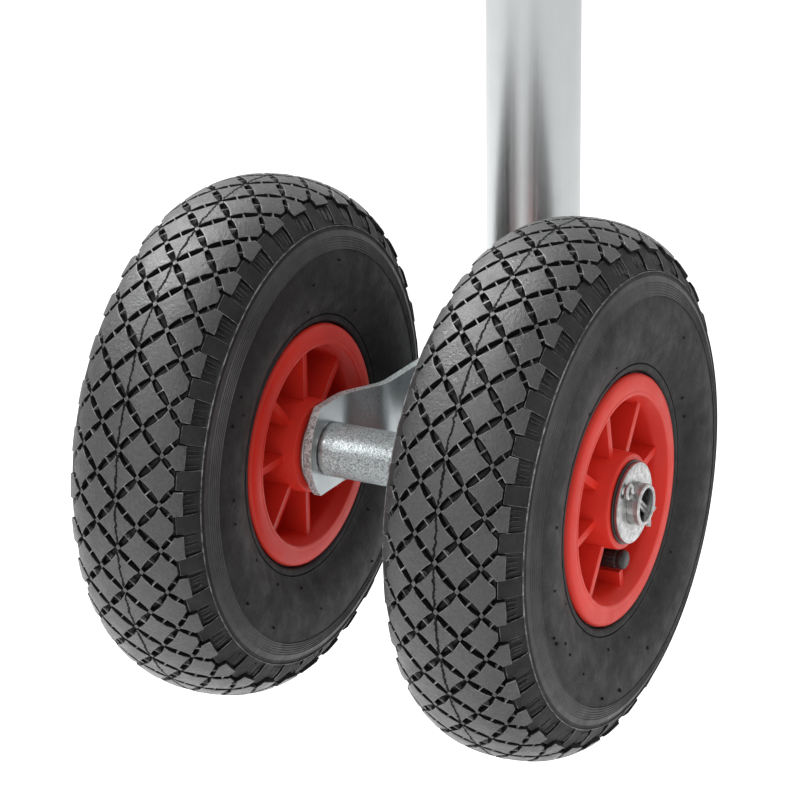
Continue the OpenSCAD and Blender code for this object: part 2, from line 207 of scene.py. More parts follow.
def block(corners, top, floor, draft=1.0, flare=0.0, edge=0.3, soft=0.5, along=3, face=0):
    """A tread block as rings of (u, s, h), marked by part: top face, edges with a painted highlight, walls
    with painted shade.
    """
    flare = np.asarray(flare, float)
    first = outline(corners, -edge, soft, along, flare)
    centre = first.mean(0)
    foot = outline(corners, draft, soft, along, flare * 1.08)
    rings = [(centre + (first - centre) * f, top, face) for f in (0.4, 0.75, 0.97)]
    rings += [
        (first, top, face),
        (outline(corners, -edge * 0.3, soft, along, flare), top - edge * 0.25, 1),
        (outline(corners, 0, soft, along, flare), top - edge, 1),
        (foot, floor + 0.1, 2),
        (foot, floor - 0.4, 2),
    ]
    n = len(first)
    pts = [(centre[0], centre[1], top)]
    for ring, h, _ in rings:
        pts += [(p[0], p[1], h) for p in ring]
    faces = [(0, 1 + i, 1 + (i + 1) % n) for i in range(n)]
    marks = [face] * n
    for k in range(len(rings) - 1):
        a, b = 1 + k * n, 1 + (k + 1) * n
        faces += [(a + i, b + i, b + (i + 1) % n, a + (i + 1) % n) for i in range(n)]
        marks += [rings[k + 1][2]] * n
    last = 1 + (len(rings) - 1) * n
    faces.append(tuple(last + i for i in reversed(range(n))))
    return np.array(pts), faces, marks + [2]


def bar(start, end, top_w, low_w, top, floor, steps=1):
    """A thin ridge between two points on the tyre, as (u, s, h)."""
    start, end = np.array(start, float), np.array(end, float)
    d = (end - start) / np.linalg.norm(end - start)
    side = np.array([-d[1], d[0]])
    pts = []
    for i in range(steps + 1):
        p = start + (end - start) * i / steps
        for w, h in ((low_w / 2, floor), (top_w / 2, top), (-top_w / 2, top), (-low_w / 2, floor)):
            q = p + side * w
            pts.append((q[0], q[1], h))
    faces = []
    for i in range(steps):
        a, b = 4 * i, 4 * i + 4
        faces += [(a + j, b + j, b + (j + 1) % 4, a + (j + 1) % 4) for j in range(4)]
    faces += [(0, 1, 2, 3), tuple(4 * steps + j for j in (3, 2, 1, 0))]
    return np.array(pts), faces


# ---------------------------------------------------------------- materials


class Nodes:
    """A Principled material with short calls for the nodes that feed it."""

    def __init__(self, name, colour, rough, metallic=0.0, **sockets):
        self.m = bpy.data.materials.new(name)
        self.m.use_nodes = True
        self.m.diffuse_color = (*colour, 1)
        self.t = self.m.node_tree
        self.shader = self.t.nodes["Principled BSDF"]
        self.shader.inputs["Base Color"].default_value = (*colour, 1)
        self.shader.inputs["Roughness"].default_value = rough
        self.shader.inputs["Metallic"].default_value = metallic
        for k, v in sockets.items():
            self.shader.inputs[k.replace("_", " ")].default_value = v
        self.where = self.t.nodes.new("ShaderNodeTexCoord").outputs["Object"]

    def node(self, kind, **values):
        n = self.t.nodes.new(kind)
        for k, v in values.items():
            setattr(n, k, v)
        return n

    def link(self, a, b):
        self.t.links.new(a, b)

    def stretched(self, scale):
        n = self.node("ShaderNodeMapping")
        n.inputs["Scale"].default_value = scale
        self.link(self.where, n.inputs["Vector"])
        return n.outputs["Vector"]

    def noise(self, scale, detail=4, rough=0.55, vector=None, distortion=0.0):
        n = self.node("ShaderNodeTexNoise")
        n.inputs["Scale"].default_value = scale
        n.inputs["Detail"].default_value = detail
        n.inputs["Roughness"].default_value = rough
        n.inputs["Distortion"].default_value = distortion
        self.link(vector or self.where, n.inputs["Vector"])
        return n.outputs["Fac"]

    def cells(self, scale):
        n = self.node("ShaderNodeTexVoronoi", feature="F1")
        n.inputs["Scale"].default_value = scale
        self.link(self.where, n.inputs["Vector"])
        return n

    def span(self, value, low, high, to_low=0.0, to_high=1.0):
        n = self.node("ShaderNodeMapRange")
        self.link(value, n.inputs["Value"])
        for k, v in zip(("From Min", "From Max", "To Min", "To Max"), (low, high, to_low, to_high)):
            n.inputs[k].default_value = v
        return n.outputs["Result"]

    def math(self, op, a, b=None, c=None):
        n = self.node("ShaderNodeMath", operation=op)
        for i, x in enumerate((a, b, c)):
            if x is None:
                continue
            if isinstance(x, (int, float)):
                n.inputs[i].default_value = x
            else:
                self.link(x, n.inputs[i])
        return n.outputs[0]

    def mix(self, amount, a, b):
        n = self.node("ShaderNodeMix", data_type="RGBA")
        self.link(amount, n.inputs["Factor"])
        # the colour sockets A and B of a Mix node are its seventh and eighth
        for x, socket in ((a, n.inputs[6]), (b, n.inputs[7])):
            if isinstance(x, tuple):
                socket.default_value = (*x, 1)
            else:
                self.link(x, socket)
        return n.outputs[2]

    def bump(self, *layers):
        """Layers are (height, strength, distance in metres), from the deepest to the finest."""
        normal = None
        for height, strength, distance in layers:
            n = self.node("ShaderNodeBump")
            n.inputs["Strength"].default_value = strength
            n.inputs["Distance"].default_value = distance
            self.link(height, n.inputs["Height"])
            if normal is not None:
                self.link(normal, n.inputs["Normal"])
            normal = n.outputs["Normal"]
        self.link(normal, self.shader.inputs["Normal"])

    def colour(self, value):
        self.link(value, self.shader.inputs["Base Color"])

    def rough(self, value):
        self.link(value, self.shader.inputs["Roughness"])


def rubber_material(name, colour, rough=0.5, grain=0.3, gloss=0.45, dust=0.02):
    """Rubber: blotches in tone and gloss, a pebbled grain and a little pale dust."""
    k = Nodes(name, colour, rough, Specular_IOR_Level=gloss)
    broad = k.noise(28, 4)
    patches = k.span(k.noise(260, 5, 0.65), 0.35, 0.75)
    base = k.mix(k.span(broad, 0.35, 0.65), tuple(c * 0.62 for c in colour), tuple(c * 1.15 for c in colour))
    dusty = k.mix(k.math("MULTIPLY", patches, k.span(broad, 0.35, 0.7, 0.2, 0.9)), base,
                  tuple(c + dust for c in colour))
    pebbles = k.noise(620, 4, 0.75)
    k.colour(k.mix(k.span(pebbles, 0.4, 0.62, 0, 0.8 * grain), dusty, tuple(c * 0.2 for c in colour)))
    k.rough(k.span(k.noise(120, 5, 0.6), 0.3, 0.7, rough - 0.1, rough + 0.14))
    k.bump((k.noise(420, 4), 0.3, 0.0005), (pebbles, grain, 0.0005))
    return k.m


def edge_highlight_material(name, dark, pale):
    """Painted highlight on block, tie and ridge edges: pale in some places, plain in others."""
    k = Nodes(name, pale, 0.35, Specular_IOR_Level=0.5)
    k.colour(k.mix(k.span(k.noise(230, 4, 0.7), 0.42, 0.68), dark, pale))
    k.rough(k.span(k.noise(300, 4), 0.3, 0.7, 0.28, 0.5))
    k.bump((k.noise(900, 3), 0.3, 0.0002))
    return k.m


def plastic_material(name, colour, rough=0.38, grain=0.1, gloss=0.5):
    k = Nodes(name, colour, rough, Specular_IOR_Level=gloss)
    broad = k.span(k.noise(22, 3), 0.3, 0.7)
    k.colour(k.mix(broad, tuple(c * 0.86 for c in colour), tuple(min(1, c * 1.08) for c in colour)))
    k.rough(k.span(k.noise(90, 5, 0.65), 0.3, 0.72, rough - 0.07, rough + 0.1))
    k.bump((k.noise(350, 3), 0.1, 0.0004), (k.noise(2400, 3), grain, 0.0001))
    return k.m


def zinc_material(name, colour, rough=0.3, sparkle=0.2, lines=None, patch=0.5, spread=0.12, depth=0.0001):
    """Zinc: uneven patches in tone and gloss, a fine grain, and drawing lines along one direction."""
    k = Nodes(name, colour, rough, metallic=1.0)
    patches = k.span(k.noise(55, 5, 0.62, distortion=0.3), 0.32, 0.7)
    flecks = k.cells(900)
    tone = k.mix(patches, tuple(c * (1 - 0.22 * patch) for c in colour), colour)
    tint = k.span(k.math("FRACT", k.math("MULTIPLY", flecks.outputs["Distance"], 7.3)), 0, 1, 0, 0.16)
    k.colour(k.mix(tint, tone, tuple(c * 0.8 for c in colour)))
    gloss = k.math("ADD", k.span(patches, 0, 1, rough + spread, rough - spread * 0.5),
                   k.span(k.noise(1500, 3), 0.3, 0.7, -0.05, 0.08))
    layers = [(k.noise(1100, 4, 0.7), sparkle, depth)]
    if lines:
        drawn = k.noise(1, 4, 0.6, vector=k.stretched(lines))
        gloss = k.math("ADD", gloss, k.span(drawn, 0.3, 0.7, -0.05, 0.06))
        layers.insert(0, (drawn, 0.12, 0.00006))
    k.rough(gloss)
    k.bump(*layers)
    return k.m


def turned_material(name, dark, pale):
    """Turned metal: fine rings about the axle, uneven in tone, over a mottled plating."""
    k = Nodes(name, pale, 0.34, metallic=1.0)
    parts = k.node("ShaderNodeSeparateXYZ")
    k.link(k.where, parts.inputs["Vector"])
    y = k.math("SUBTRACT", parts.outputs["Y"], AXLE.y)
    z = k.math("SUBTRACT", parts.outputs["Z"], AXLE.z)
    radius = k.math("SQRT", k.math("ADD", k.math("MULTIPLY", y, y), k.math("MULTIPLY", z, z)))
    rings = k.node("ShaderNodeCombineXYZ")
    k.link(radius, rings.inputs["X"])
    k.link(parts.outputs["X"], rings.inputs["Y"])
    lines = k.noise(1100, 3, 0.6, vector=rings.outputs["Vector"])
    mottle = k.noise(330, 5, 0.7)
    tone = k.math("MULTIPLY_ADD", k.span(mottle, 0.35, 0.65), 0.65, k.span(lines, 0.35, 0.65, 0, 0.35))
    k.colour(k.mix(tone, dark, pale))
    k.rough(k.span(mottle, 0.3, 0.7, 0.42, 0.26))
    k.bump((lines, 0.25, 0.0002), (k.noise(900, 4, 0.7), 0.3, 0.0003))
    return k.m


def grain_material(name, dark, pale, scale=1500, metallic=0.85):
    """Zinc over a rough blasted surface: a fine sparkle of dark and bright grains."""
    k = Nodes(name, pale, 0.38, metallic=metallic)
    grains = k.math("ADD", k.span(k.noise(scale, 3, 0.75), 0.32, 0.68, 0, 0.85),
                    k.span(k.noise(scale / 3, 4), 0.3, 0.7, 0, 0.2))
    k.colour(k.mix(k.span(grains, 0.1, 0.75), dark, pale))
    k.rough(k.span(k.noise(700, 4), 0.3, 0.7, 0.3, 0.5))
    k.bump((k.noise(700, 4, 0.7), 0.6, 0.0004))
    return k.m


RUBBER = rubber_material("tyre rubber", (0.022, 0.022, 0.023), 0.34, grain=1.0, gloss=0.9)
SIDE_RUBBER = rubber_material("sidewall rubber", (0.019, 0.019, 0.020), 0.62, grain=0.4, gloss=0.25,
                              dust=0.01)
# groove floor rubber, a little darker than the tread: painted shade
GROOVE_SHADE_RUBBER = rubber_material("groove painted shade rubber", (0.017, 0.017, 0.018), 0.6, grain=0.4, gloss=0.25,
                               dust=0.005)
# near-black rubber for block walls, the groove by the flange, the flash fin and the nubs: painted shade
WALL_SHADE_RUBBER = rubber_material("block wall painted shade rubber", (0.004, 0.004, 0.004), 0.7, grain=0.4, gloss=0.15,
                              dust=0.002)
# paler rubber on the crests of the sidewall rib lines: painted highlight
RIB_HIGHLIGHT_RUBBER = rubber_material("rib line painted highlight rubber", (0.045, 0.045, 0.046), 0.5, grain=0.2, gloss=0.4, dust=0.02)
# pale rubber on block, tie and ridge edges: painted highlight
EDGE_HIGHLIGHT_RUBBER = edge_highlight_material("edge rubber painted highlight", (0.035, 0.035, 0.036), (0.26, 0.26, 0.26))
# a tyre's materials, in the order of the marks on its faces
TYRE_RUBBERS = [RUBBER, EDGE_HIGHLIGHT_RUBBER, WALL_SHADE_RUBBER, SIDE_RUBBER, GROOVE_SHADE_RUBBER, RIB_HIGHLIGHT_RUBBER]
SOFT_RUBBER = rubber_material("valve rubber", (0.012, 0.012, 0.012), 0.55)
RED = plastic_material("red plastic", (0.68, 0.030, 0.017), 0.42, gloss=0.25)
BLACK = plastic_material("black plastic", (0.014, 0.014, 0.015), 0.42, grain=0.3)
NYLON = plastic_material("nylon cage", (0.55, 0.45, 0.30), 0.45)
TUBE_ZINC = zinc_material("galvanised tube", (0.59, 0.61, 0.615), 0.34, 0.04, lines=(500, 500, 6), patch=0.12,
                          spread=0.03)
PLATE_ZINC = zinc_material("zinc plate", (0.46, 0.50, 0.51), 0.29, 0.1, patch=0.7, spread=0.06)
SHEAR_ZINC = grain_material("sheared zinc edge", (0.12, 0.13, 0.13), (0.85, 0.94, 0.95), 900, metallic=0.4)
TURNED_ZINC = turned_material("turned zinc", (0.24, 0.24, 0.24), (0.66, 0.66, 0.655))
GRAIN_ZINC = grain_material("grainy zinc", (0.10, 0.112, 0.115), (0.62, 0.69, 0.70))
DARK_STEEL = zinc_material("dark steel", (0.09, 0.09, 0.09), 0.4, 0.3)
BEARING_STEEL = zinc_material("ground steel", (0.55, 0.56, 0.57), 0.22, 0.08)
BRONZE = zinc_material("bronze", (0.60, 0.42, 0.19), 0.3, 0.2)

# ---------------------------------------------------------------- tyres

SECTION_POWER = 2.37
SECTION_LOW_R = 52
SECTION_MID = (TYRE_R + SECTION_LOW_R) / 2
SECTION_RISE = (TYRE_R - SECTION_LOW_R) / 2
BEAD_R, BEAD_OUT, BEAD_IN = 51.1, 30.1, 22.2
PITCHES = 34
PITCH = TURN * TYRE_R / PITCHES
COLUMN = 11.0
GROOVE = 3.0
BLOCK_TOP = -0.2
DIAMOND_U, DIAMOND_S = 9.05, 8.65
TRIM = 28.6
FLARE = (1.5, 1.1)
PLATEAU_TOP = -1.9
CROSSING_TOP = -0.9
CROSSING = (1.8, 1.3)
SHOULDER_END = 33.3
LUG_TIP, LUG_CORNER, LUG_HALF = 23.9, 28.9, 6.35
RING_S = 45.0
RECESS = 3.2
STREAKS = (-4.4, -1.6, 1.2, 4.1)
TIE_HALF = 2.5
NUBS, NUB_CORNERS = 22, 10
RIB_LINES = (50.4, 51.7, 53.0, 54.3, 55.6, 56.8)
SHOULDER_DROP = ((44, 50, 56, 62, 68, 90), (-2.1, -1.9, -1.5, -0.9, -0.5, -0.35))
# the tread's sideways shift at the front of the tyre, which fades out over the shoulder
TREAD_SKEW, SKEW_END, SKEW_FADE = 1.3, 50, 8
TYRE_PHASE = {"right": 175.6, "left": 154.0}

sweep = np.linspace(math.pi / 2, -math.radians(46), 4000)
section_r = SECTION_MID + SECTION_RISE * np.sign(np.sin(sweep)) * np.abs(np.sin(sweep)) ** (2 / SECTION_POWER)
section_o = TYRE_HALF * np.cos(sweep) ** (2 / SECTION_POWER)
section_s = np.concatenate([[0], np.cumsum(np.hypot(np.diff(section_r), np.diff(section_o)))])
even_s = np.linspace(0, section_s[-1], 600)
even_r, even_o = np.interp(even_s, section_s, section_r), np.interp(even_s, section_s, section_o)
slope_r, slope_o = np.gradient(even_r, even_s), np.gradient(even_o, even_s)
slope_r[0], slope_o[0] = 0.0, 1.0


def lifted(s, h):
    """(radius, offset) at h above the tyre's smooth section, s along it from the crown."""
    nr, no = np.interp(s, even_s, slope_o), -np.interp(s, even_s, slope_r)
    long = np.hypot(nr, no)
    return np.interp(s, even_s, even_r) + h * nr / long, np.interp(s, even_s, even_o) + h * no / long


def on_tyre(side, points):
    """Points (u, s, h) on a tyre: u around at the crown from the rear up, s across, h outwards."""
    u, s, h = np.asarray(points, float).reshape(-1, 3).T
    t = u / TYRE_R
    s = s - side * TREAD_SKEW * np.cos(t) * np.clip((SKEW_END - np.abs(s)) / SKEW_FADE, 0, 1)
    r, o = lifted(np.abs(s), h)
    return np.stack([side * (WHEEL_X + np.sign(s) * o), r * np.cos(t), r * np.sin(t)], 1)


def carcass_profile():
    """Closed profile (radius, offset) of the rubber below the tread blocks, with a mark by segment."""
    # the groove floors take mark 4, the darker groove rubber: painted shade
    half = [(s, -GROOVE, 4) for s in (0, 6, 12, 18, 24, 28, 31)]
    # the ring ridge at RING_S takes mark 1, the pale edge rubber: painted highlight
    half += [(33.2, -GROOVE, 4), (34, -RECESS, 4), (38, -RECESS, 4), (42, -RECESS + 0.2, 4), (44.2, -2.6, 4),
             (RING_S - 0.3, -1.9, 3), (RING_S - 0.12, -1.4, 1), (RING_S + 0.12, -1.4, 1),
             (RING_S + 0.4, -2.0, 3), (47.2, -2.0, 3)]

    def drop(s):
        return float(np.interp(s, *SHOULDER_DROP))

    # the rib lines' crests take mark 5, the paler rib rubber: painted highlight
    for i, s in enumerate(RIB_LINES):
        high = drop(s) + (0.45 if i == len(RIB_LINES) - 1 else 0.3)
        half += [(s - 0.28, drop(s), 5), (s - 0.1, high, 5), (s + 0.1, high, 5), (s + 0.28, drop(s), 3)]
    half += [(s, drop(s), 3) for s in (58.5, 60.5, 64, 68, 72, 77, 82, 86, 90, 94)]
    s, h, marks = np.array(half).T
    r, o = lifted(s, h)
    right = [(a, b, int(m)) for a, b, m in zip(r, o, marks) if a > FLANGE_R + 7]
    # the groove by the flange takes mark 2, the near-black wall rubber: painted shade
    right += [(FLANGE_R + 6, 33.7, 3), (FLANGE_R + 5.1, 33.6, 3), (FLANGE_R + 4.9, 33.0, 2),
              (FLANGE_R + 4.5, 33.0, 2), (FLANGE_R + 4.3, 33.65, 3), (FLANGE_R + 3, 33.5, 3),
              (FLANGE_R + 1.8, 33.1, 3), (FLANGE_R + 1.0, 32.2, 3), (FLANGE_R + 0.8, 31, 3),
              (FLANGE_R + 0.6, 30.4, 3), (BEAD_R + 1.2, BEAD_OUT - 0.1, 3), (BEAD_R, BEAD_OUT - 1.2, 3),
              (BEAD_R, BEAD_IN + 1, 3), (BEAD_R + 1, BEAD_IN, 3)]
    for k in range(9):
        a = math.radians(-46 + 17 * k)
        q = math.sin(a)
        right.append((SECTION_MID + (SECTION_RISE - 8) * math.copysign(abs(q) ** (2 / SECTION_POWER), q),
                      (TYRE_HALF - 5) * math.cos(a) ** (2 / SECTION_POWER), 3))
    left = [(r, -o) for r, o, _ in reversed(right[1:])]
    marks = [m for _, _, m in reversed(right[1:])] + [m for _, _, m in right[1:]] + [3]
    return left + [(r, o) for r, o, _ in right], marks


def diamond(s):
    return [(DIAMOND_U, s), (0, s + DIAMOND_S), (-DIAMOND_U, s), (0, s - DIAMOND_S)]


def trimmed_diamond(s):
    w = DIAMOND_U * (1 - (TRIM - s) / DIAMOND_S)
    return [(DIAMOND_U, s), (w, TRIM), (-w, TRIM), (-DIAMOND_U, s), (0, s - DIAMOND_S)]


def crossing(s):
    """The low web that joins the corners of four blocks."""
    u, w = CROSSING
    return block([(u, s), (0, s + w), (-u, s), (0, s - w)], CROSSING_TOP, -GROOVE, 0.5, edge=0.2, soft=0.3,
                 along=1)


def sided_block(sign, corners, top, draft, flare, **kw):
    """A block on one half of the tread; draft goes by edge and flare by corner, as on the positive half."""
    if sign < 0:
        corners = [(u, -s) for u, s in reversed(corners)]
        draft, flare = draft[-2::-1] + draft[-1:], flare[::-1]
    return block(corners, top, -GROOVE, draft, flare, **kw)


def flash(rnd, centre):
    """Torn mould flash over one pitch: a low wavy fin, lower where it crosses the grooves."""
    points = 34
    u = np.linspace(-PITCH / 2, PITCH / 2, points)
    pts = []
    drift = 0.0
    for i in range(points):
        drift = 0.75 * drift + rnd.uniform(-0.3, 0.3)
        end = i in (0, points - 1)
        s = 0.0 if end else drift
        w = 0.4 if end else rnd.uniform(0.2, 1.0)
        over = abs(u[i]) < DIAMOND_U + FLARE[0] - 0.4
        top = BLOCK_TOP + 0.06 if over else -1.9
        h = top + (rnd.uniform(0.0, 0.13) if over else 0.0)
        low = top - 0.5
        v = 0.4 if end else rnd.uniform(0.2, 1.0)
        pts += [(centre + u[i], s + w, low), (centre + u[i], s + w * 0.9, top), (centre + u[i], s + 0.06, h),
                (centre + u[i], s - 0.06, h), (centre + u[i], s - v * 0.9, top), (centre + u[i], s - v, low)]
    faces = [tuple(range(6)), tuple(6 * (points - 1) + j for j in reversed(range(6)))]
    for i in range(points - 1):
        a, b = 6 * i, 6 * i + 6
        faces += [(a + j, b + j, b + (j + 1) % 6, a + (j + 1) % 6) for j in range(6)]
    return pts, faces


def tyre(name):
    side = SIDES[name]
    rnd = random.Random(7 + side)
    shell = Shell()
    profile, marks = carcass_profile()
    spin(shell, profile, WHEEL_X, side, steps=PITCHES * 6, marks=marks)
    start = math.radians(TYRE_PHASE[name]) * TYRE_R
    top = BLOCK_TOP
    lug = [(0, LUG_TIP), (LUG_HALF, LUG_CORNER), (LUG_HALF, SHOULDER_END), (-LUG_HALF, SHOULDER_END),
           (-LUG_HALF, LUG_CORNER)]
    plateau = [(-4.75, 29.9), (4.75, 29.9), (5.1, 33.5), (5.55, 44.3), (-5.55, 44.3), (-5.1, 33.5)]

    wide = list(FLARE) * 2
    kinds = [(0.5, block(diamond(0), top, -GROOVE, 0.85, wide, along=6))]
    for sign in (1, -1):
        kinds += [
            (0.0, sided_block(sign, diamond(COLUMN), top, [0.85] * 4, wide, along=6)),
            (0.5, sided_block(sign, trimmed_diamond(2 * COLUMN), top, [0.85, 0.3, 0.85, 0.85, 0.85],
                              [FLARE[0], 0, 0, FLARE[0], FLARE[1]], along=6)),
            (0.0, sided_block(sign, lug, top, [0.8, 0.25, 0.5, 0.25, 0.8], [1.2, 0.2, 0, 0, 0.2],
                              soft=0.3, along=4)),
            (0.5, sided_block(sign, plateau, PLATEAU_TOP, [0.3] * 6, [0] * 6, edge=0.22, soft=0.2,
                              along=2, face=3)),
        ]
        kinds += [(0.5, crossing(sign * COLUMN)), (0.0, crossing(sign * 2 * COLUMN))]
    kinds.append((0.0, crossing(0)))
    for k in range(PITCHES):
        for shift, (pts, faces, parts) in kinds:
            moved = pts + np.array([start + (k + shift) * PITCH, 0, 0])
            moved[:, 2] += rnd.uniform(-0.05, 0.03)
            shell.add(on_tyre(side, moved), faces, parts, flip=side > 0)
        middle = start + k * PITCH
        for sign in (1, -1):
            for shift, s, away in ((0, 5.5, 0.25), (0.5, 16.5, 0.25), (0, 26.7, 5.0 / PITCH)):
                for way in (-1, 1):
                    u = middle + (shift + way * away) * PITCH
                    # a cross tie in the middle of a groove; its long faces take the pale edge rubber, a
                    # painted highlight
                    slide = rnd.uniform(-0.4, 0.4)
                    d = np.array([way, 1]) / math.sqrt(2)
                    c = np.array([u, s]) + d * slide
                    n = np.array([-d[1], d[0]]) * TIE_HALF
                    a, b = (c - n) * (1, sign), (c + n) * (1, sign)
                    pts, faces = bar(a, b, 0.5, 0.85, top - 0.25, -GROOVE - 0.3)
                    shell.add(on_tyre(side, pts), faces, [1, 1, 1, 1, 0, 0], flip=side > 0)
            for u in STREAKS:
                u += rnd.uniform(-0.6, 0.6)
                ends = 34.2 + rnd.uniform(0, 1.5), 43.2 - rnd.uniform(0, 3.5)
                lean = rnd.uniform(-0.5, 0.5)
                pts, faces = bar((middle + u, sign * ends[0]), (middle + u + lean, sign * ends[1]),
                                 0.2, 1.0, -RECESS + rnd.uniform(0.4, 1.3), -RECESS - 0.1, steps=4)
                shell.add(on_tyre(side, pts), faces, 0, flip=side > 0)
        # the flash fin takes the near-black wall rubber: painted shade along it
        pts, faces = flash(rnd, middle + PITCH / 2)
        shell.add(on_tyre(side, pts), faces, 2, flip=side > 0)
    # vent nubs on the sidewalls, in the near-black wall rubber: painted shade
    for sign in (1, -1):
        for _ in range(NUBS):
            a = rnd.uniform(0, TURN) * TYRE_R
            s = rnd.choice((62.5, 70.0, 84.5)) + rnd.uniform(-1, 1)
            size = rnd.uniform(0.55, 0.85)
            ring = [(a + size * math.cos(t) * 1.5, sign * (s + size * math.sin(t)))
                    for t in np.arange(NUB_CORNERS) * TURN / NUB_CORNERS]
            if sign < 0:
                ring = ring[::-1]
            pts = [(*p, -1.4) for p in ring] + [(*p, -0.05) for p in ring]
            n = NUB_CORNERS
            faces = [(j, (j + 1) % n, n + (j + 1) % n, n + j) for j in range(n)]
            faces += [tuple(reversed(range(n))), tuple(range(n, 2 * n))]
            shell.add(on_tyre(side, pts), faces, 2, flip=side < 0)
    return shell.make(f"tyre_{name}_tread", TYRE_RUBBERS, f"wheel_{name}",
                      [f"tyre_{name}"], smooth=38, offset=AXLE)


# ---------------------------------------------------------------- rims

RIM_STEPS = 144
RIM_FACE = 35.0
RIB_COUNT = 8
RIB_ROOT, RIB_TIP, RIB_SOFT = 4.8, 4.0, 0.3
RIB_END = 30
# a rib this close to the valve, in degrees, is cut away around it
VALVE_GAP = 14
RIB_PHASE = {"right": 11, "left": 0}
VALVE_ANGLE = 280
VALVE_R = 33
STEM_OUT, STEM_BEND = 12, 5.0
STEM_R, STEM_TIP_R, STEM_STEP = 3.38, 3.0, 18.7


def rib(shell, side, angle, r_in, r_out, o_in, o_out):
    """A drafted rib with a rounded free edge, standing on the web at o_in."""
    stations = [(o_in, RIB_ROOT / 2), (o_out - RIB_SOFT, RIB_TIP / 2),
                (o_out - 0.16 * RIB_SOFT, RIB_TIP / 2 - 0.18 * RIB_SOFT),
                (o_out, RIB_TIP / 2 - 0.7 * RIB_SOFT)]
    cross = stations + [(o, -w) for o, w in reversed(stations)]
    a = math.radians(angle)
    radial, across = np.array([math.cos(a), math.sin(a)]), np.array([-math.sin(a), math.cos(a)])
    pts = []
    for r in (r_in, r_out):
        for o, w in cross:
            yz = radial * r + across * w
            pts.append((side * (WHEEL_X + o), yz[0], yz[1]))
    n = len(cross)
    faces = [(j, n + j, n + (j + 1) % n, (j + 1) % n) for j in range(n)]
    faces += [tuple(reversed(range(n))), tuple(range(n, 2 * n))]
    shell.add(pts, faces)


def rim(name):
    side = SIDES[name]
    shell = Shell()
    face = RIM_FACE
    half = [(45.5, 0), (46.9, 27.6), (47.6, 29.6), (49.7, face - 1.3), (50.3, face - 0.35), (51.2, face),
            (52.2, face - 0.06), (52.5, face - 0.18), (52.9, face - 0.1), (58.2, face - 0.45),
            (59.4, face - 0.9), (60.2, face - 1.8), (FLANGE_R, face - 2.9), (60.1, face - 3.9),
            (50.8, face - 4), (50.8, 20), (49, 16), (49, 0)]
    outer = half + [(r, -o) for r, o in reversed(half[1:-1])]
    spin(shell, outer, WHEEL_X, side, RIM_STEPS)
    spin(shell, [(17.5, -2.5), (47, -2.5), (47, 2.5), (17.5, 2.5)], WHEEL_X, side, RIM_STEPS)
    for m in (1, -1):
        boss = [(15.6, 0), (25.6, 0), (24.9, 3.2), (24.4, 5), (23.1, HUB_HALF - 1.5), (22.6, HUB_HALF - 0.4),
                (21.8, HUB_HALF), (16.4, HUB_HALF), (15.6, HUB_HALF - 0.8)]
        foot = [(22, 1), (27.6, 2.2), (25.8, 2.9), (25.0, 4.2), (24, 6)]
        brim = [(47, 1), (42.9, 2.2), (44.7, 2.9), (45.5, 4.2), (47, 6)]
        for part in (boss, foot, brim):
            part = [(r, m * o) for r, o in part]
            spin(shell, part, WHEEL_X, side, RIM_STEPS)
        for i in range(RIB_COUNT):
            angle = RIB_PHASE[name] + i * 360 / RIB_COUNT
            gap = abs((angle - VALVE_ANGLE + 180) % 360 - 180)
            if m > 0 and gap < VALVE_GAP:
                rib(shell, side, angle, 22, 26.2, 2, RIB_END)
                rib(shell, side, angle, 39.8, 48, 2, RIB_END)
            else:
                rib(shell, side, angle, 22, 48, m * 2, m * RIB_END)
    return shell.make(f"rim_{name}_moulding", [RED], f"wheel_{name}", [f"rim_{name}"],
                      smooth=32, offset=AXLE)


for name in SIDES:
    outward(tyre(name))
    outward(rim(name))

# ---------------------------------------------------------------- valves


def tube_along(shell, path, radii, around):
    """A closed round tube along a path of points, with flat ends."""
    path = [Vector(p) for p in path]
    n = len(path)
    tangents = [(path[min(i + 1, n - 1)] - path[max(i - 1, 0)]).normalized() for i in range(n)]
    up = tangents[0].orthogonal().normalized()
    pts = []
    for i in range(n):
        up = (up - tangents[i] * up.dot(tangents[i])).normalized()
        other = tangents[i].cross(up)
        for k in range(around):
            t = k * TURN / around
            pts.append(path[i] + up * radii[i] * math.cos(t) + other * radii[i] * math.sin(t))
    faces = grid_faces(n, around, wrap_cols=True)
    faces += [tuple(range(around)), tuple(n * around - 1 - k for k in range(around))]
    shell.add([tuple(p) for p in pts], faces)


